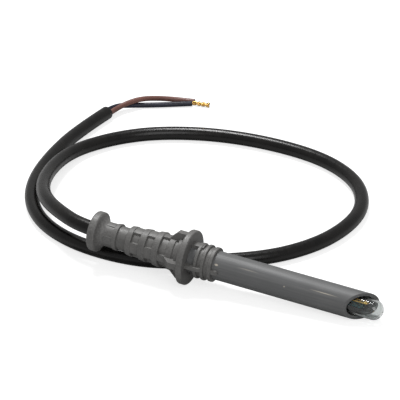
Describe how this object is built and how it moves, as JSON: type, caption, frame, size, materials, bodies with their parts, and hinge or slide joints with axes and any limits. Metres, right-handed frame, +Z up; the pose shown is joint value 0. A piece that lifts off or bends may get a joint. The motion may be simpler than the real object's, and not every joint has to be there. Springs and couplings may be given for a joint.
{
  "type": "plug-in sensor probe",
  "caption": "Plug-in sensor probe with a clear glass capsule in a slant-cut tube, a flange with a keyed collar, a ribbed cable grip and a coiled two-core cable with twisted bare ends.",
  "frame": {"origin": "the middle of the probe's footprint on the ground plane, with the free cable left out", "axes": "+Z up from the ground the part lies on; +X from the cable grip towards the glass tip, in the vertical plane of the probe's axis, which dips 4.2 degrees towards the tip; +Y to the side the cable coil lies on"},
  "size_m": [0.1853, 0.1688, 0.0222],
  "materials": {
    "grip_plastic": "fine-grained semi-matt grey moulding",
    "tube_plastic": "smooth blue-grey with faint lengthwise marks",
    "clear_glass": "clear and polished",
    "stem_glass": "pale fused glass bead",
    "dark_rod": "dark teal, slightly glossy",
    "gold_wire": "bright drawn wire",
    "pin_metal": "plain nickel-iron wire",
    "base_ceramic": "fired, unglazed",
    "black_rubber": "matt moulded rubber",
    "splice_metal": "tinned, crimped",
    "shrink_sleeve": "shrunk sleeve, slightly wrinkled",
    "brown_insulation": "satin brown cable insulation",
    "blue_insulation": "satin dark blue cable insulation",
    "potting_resin": "cast resin",
    "crimp_metal": "plain pressed ferrule",
    "cable_jacket": "satin black sheath",
    "copper_strands": "bright fine strands twisted together"
  },
  "bodies": {
    "root": {"holder": "grip_plastic", "probe_tube": "tube_plastic", "glass_capsule": "clear_glass", "glass_stem": "stem_glass", "sensing_rod": "dark_rod", "electrode_loop": "gold_wire", "brown_pin": "pin_metal", "blue_pin": "pin_metal", "capsule_base": "base_ceramic", "capsule_carrier": "black_rubber", "capsule_ring": "black_rubber", "brown_splice": "splice_metal", "blue_splice": "splice_metal", "brown_sleeve": "shrink_sleeve", "blue_sleeve": "shrink_sleeve", "brown_lead": "brown_insulation", "blue_lead": "blue_insulation", "potting_plug": "potting_resin", "cable_crimp": "crimp_metal", "cable_in_grip": "cable_jacket", "cable": "cable_jacket", "brown_core": "brown_insulation", "blue_core": "blue_insulation", "strand_bundle": "copper_strands"}
  },
  "joints": []
}
